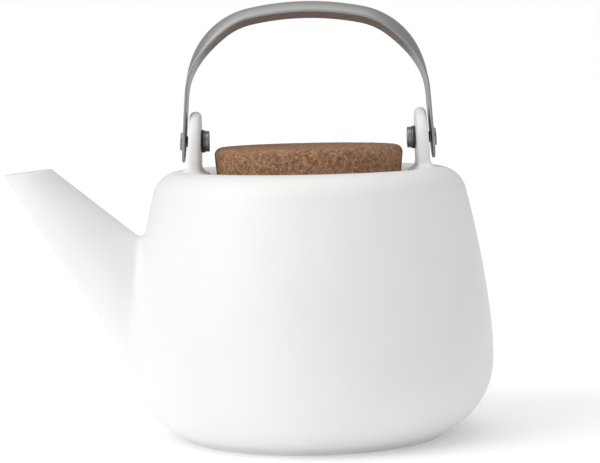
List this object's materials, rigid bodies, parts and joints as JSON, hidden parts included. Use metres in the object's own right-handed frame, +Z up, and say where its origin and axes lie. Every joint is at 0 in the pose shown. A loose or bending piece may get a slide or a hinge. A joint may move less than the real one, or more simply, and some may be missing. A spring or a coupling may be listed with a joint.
{
  "type": "teapot with infuser",
  "caption": "Squat white porcelain teapot with a straight spout, cork lid, lift-out steel infuser and a swinging steel strip handle.",
  "frame": {"origin": "centre of the foot ring on the plane the pot rests on", "axes": "+Z up along the pot's axis, -X towards the spout, the handle's hinge axis along X"},
  "size_m": [0.2049, 0.1524, 0.1822],
  "materials": {
    "porcelain": "satin matt white glaze",
    "cork": "agglomerated cork, sanded",
    "brushed_steel": "brushed along the strip",
    "hinge_steel": "satin turned steel",
    "infuser_steel": "fine satin stainless steel",
    "black_plastic": "matt black nylon",
    "black_rubber": "soft matt rubber"
  },
  "bodies": {
    "pot": {"pot_body": "porcelain", "left_sleeve": "black_plastic", "right_sleeve": "black_plastic", "left_rubber_washer": "black_rubber", "right_rubber_washer": "black_rubber"},
    "handle": {"handle_strip": "brushed_steel", "left_pivot_screw": "hinge_steel", "right_pivot_screw": "hinge_steel", "left_steel_washer": "hinge_steel", "right_steel_washer": "hinge_steel", "left_cap_nut": "hinge_steel", "right_cap_nut": "hinge_steel"},
    "infuser": {"infuser_rim": "infuser_steel", "infuser_wall": "infuser_steel", "infuser_base": "infuser_steel"},
    "lid": {"cork_lid": "cork"}
  },
  "joints": [
    {"name": "handle_swing", "type": "hinge", "parent": "pot", "child": "handle", "pos_m": [0, 0, 0.1243], "axis": [1, 0, 0], "range_deg": [-83, 99]},
    {"name": "infuser_lift", "type": "slide", "parent": "pot", "child": "infuser", "axis": [0, 0, 1], "range_m": [0, 0.038]},
    {"name": "lid_lift", "type": "slide", "parent": "infuser", "child": "lid", "axis": [0, 0, 1], "range_m": [0, 0.038]}
  ]
}
